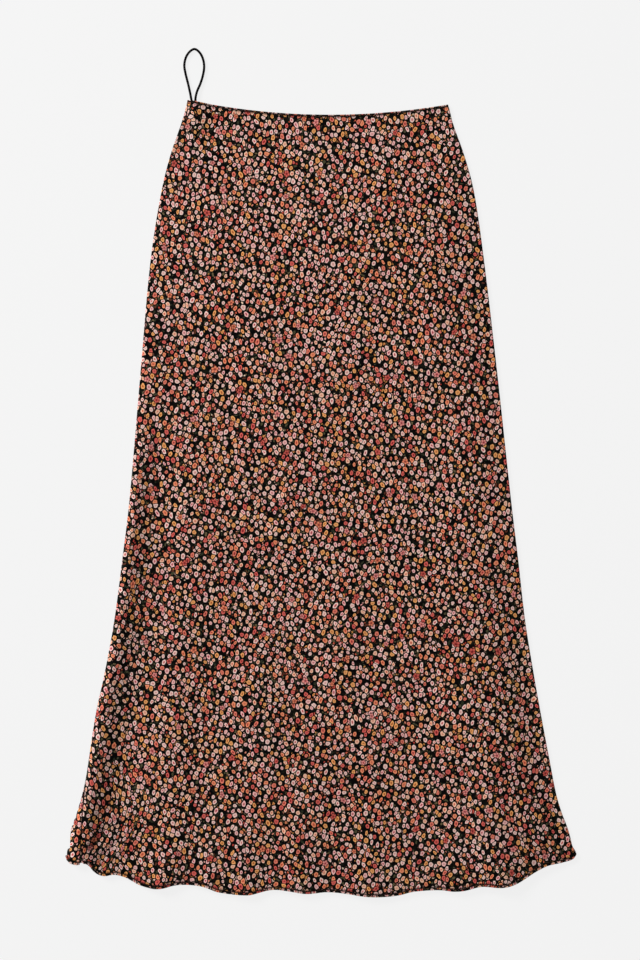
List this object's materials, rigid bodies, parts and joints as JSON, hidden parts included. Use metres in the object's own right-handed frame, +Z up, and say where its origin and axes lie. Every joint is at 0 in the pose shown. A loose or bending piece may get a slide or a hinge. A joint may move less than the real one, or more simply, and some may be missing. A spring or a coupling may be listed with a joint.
{
  "type": "midi skirt",
  "caption": "Bias-cut A-line midi skirt in a dense small floral print, laid flat with its front on its back, with a thin cord loop for hanging it up.",
  "frame": {"origin": "middle of the base of the skirt, on the surface it lies on", "axes": "+X across the skirt to the right as it is seen, +Y from the hem to the waist, +Z up from the surface through the back panel to the front panel"},
  "size_m": [0.6247, 1.035, 0.0116],
  "materials": {
    "print_cloth": "soft matt viscose crepe, near black, printed all over with small pink, rose, coral and ochre flowers",
    "loop_cord": "smooth black cord with a faint satin sheen"
  },
  "bodies": {
    "root": {"front_panel": "print_cloth", "back_panel": "print_cloth", "hanger_loop": "loop_cord"}
  },
  "joints": []
}
